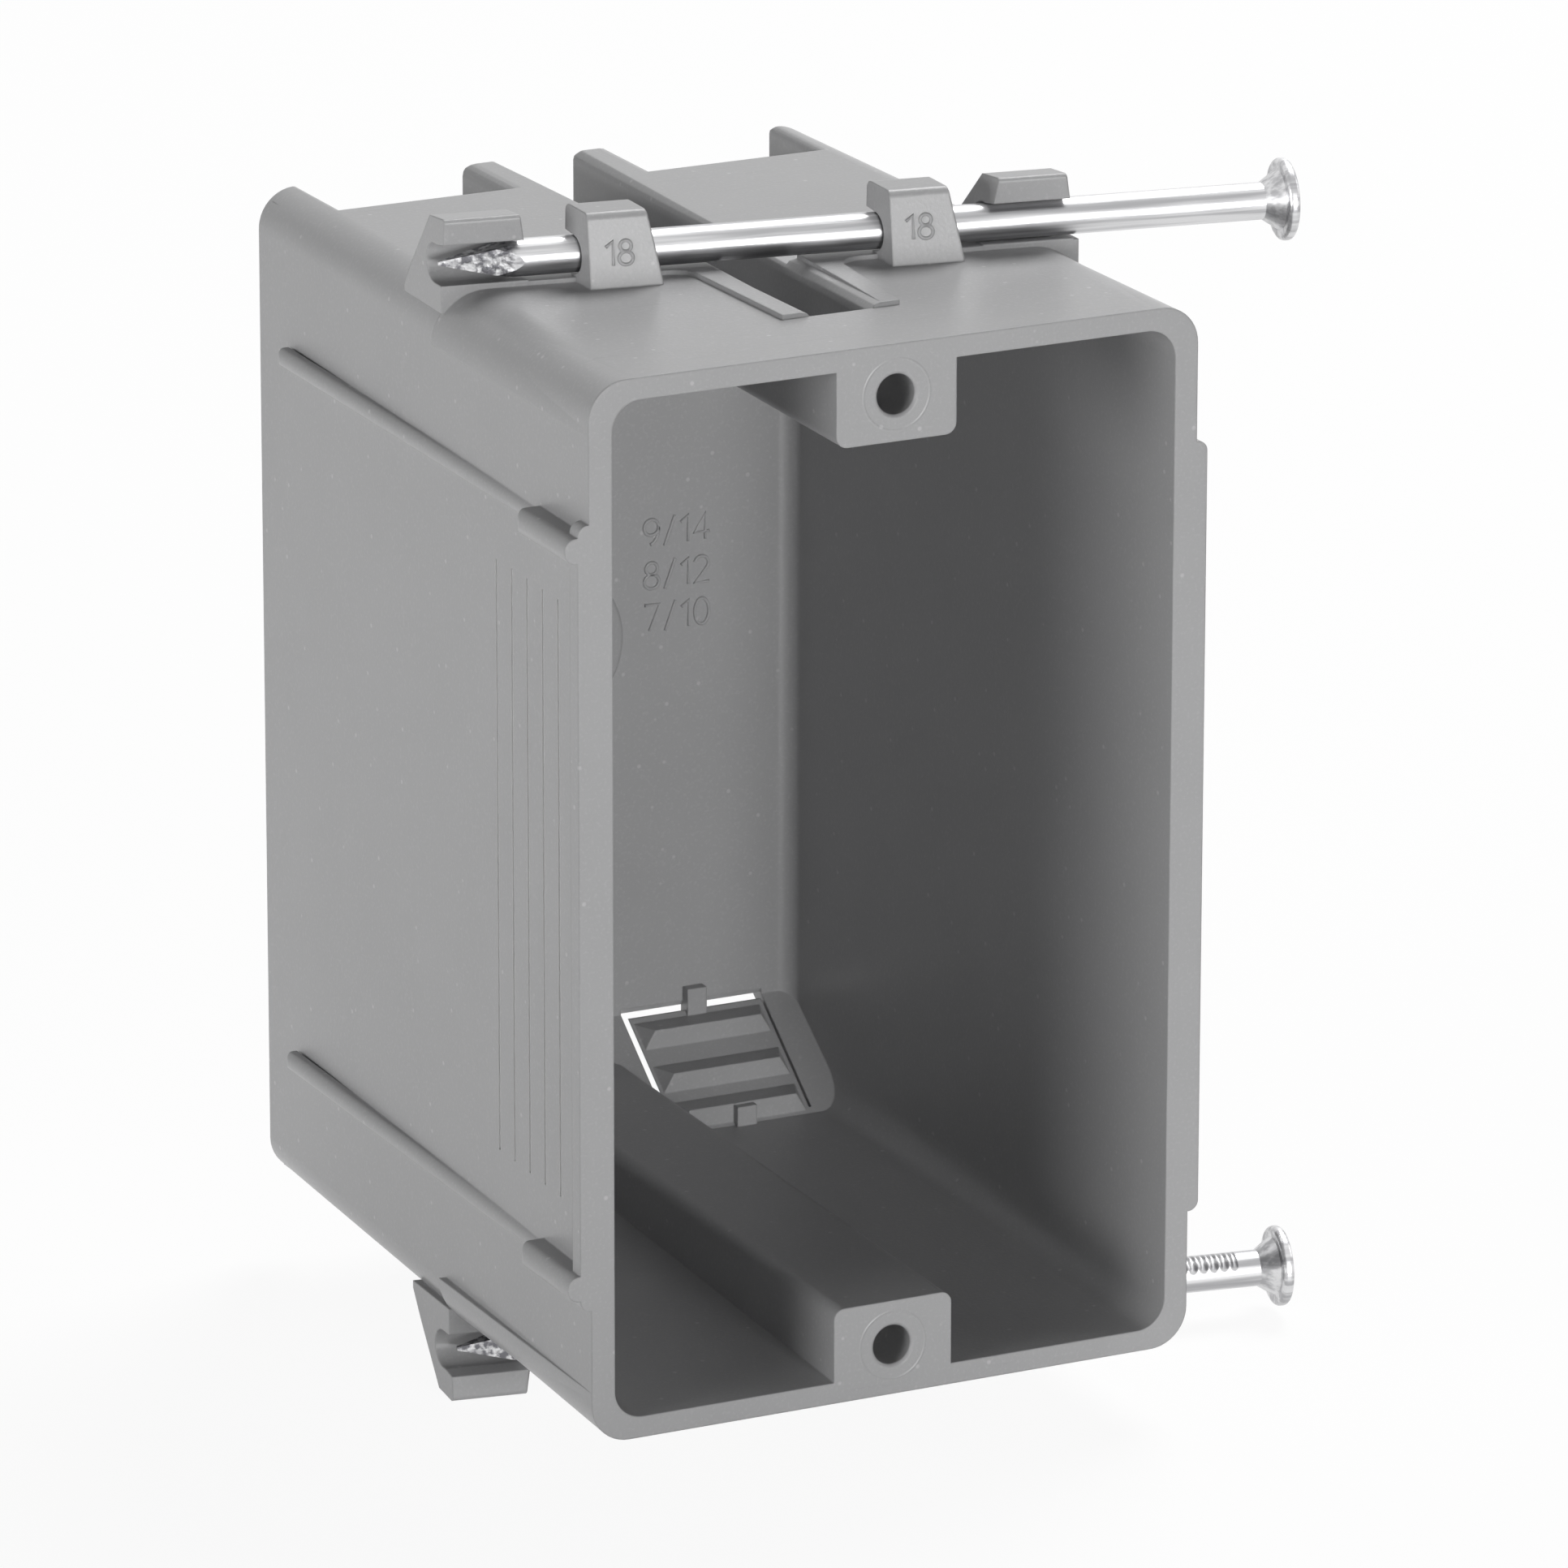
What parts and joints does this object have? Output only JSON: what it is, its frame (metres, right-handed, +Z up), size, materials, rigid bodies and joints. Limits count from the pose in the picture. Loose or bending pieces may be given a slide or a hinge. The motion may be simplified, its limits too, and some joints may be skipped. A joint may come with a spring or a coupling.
{
  "type": "new work outlet box",
  "caption": "Moulded plastic outlet box for new work, open at the front, with cable clamp flaps and captive nails held slanted in hooks across its top and bottom.",
  "frame": {"origin": "on the front rim plane, midway between the two device screw holes", "axes": "+Z up through the screw holes, +X to the right seen from the front (nail heads), the open front faces -Y and the back is at +Y"},
  "size_m": [0.078, 0.0706, 0.1048],
  "materials": {
    "grey_pvc": "matte, as moulded",
    "bright_steel": "bright plated"
  },
  "bodies": {
    "root": {"box": "grey_pvc", "upper_nail": "bright_steel", "lower_nail": "bright_steel"}
  },
  "joints": []
}
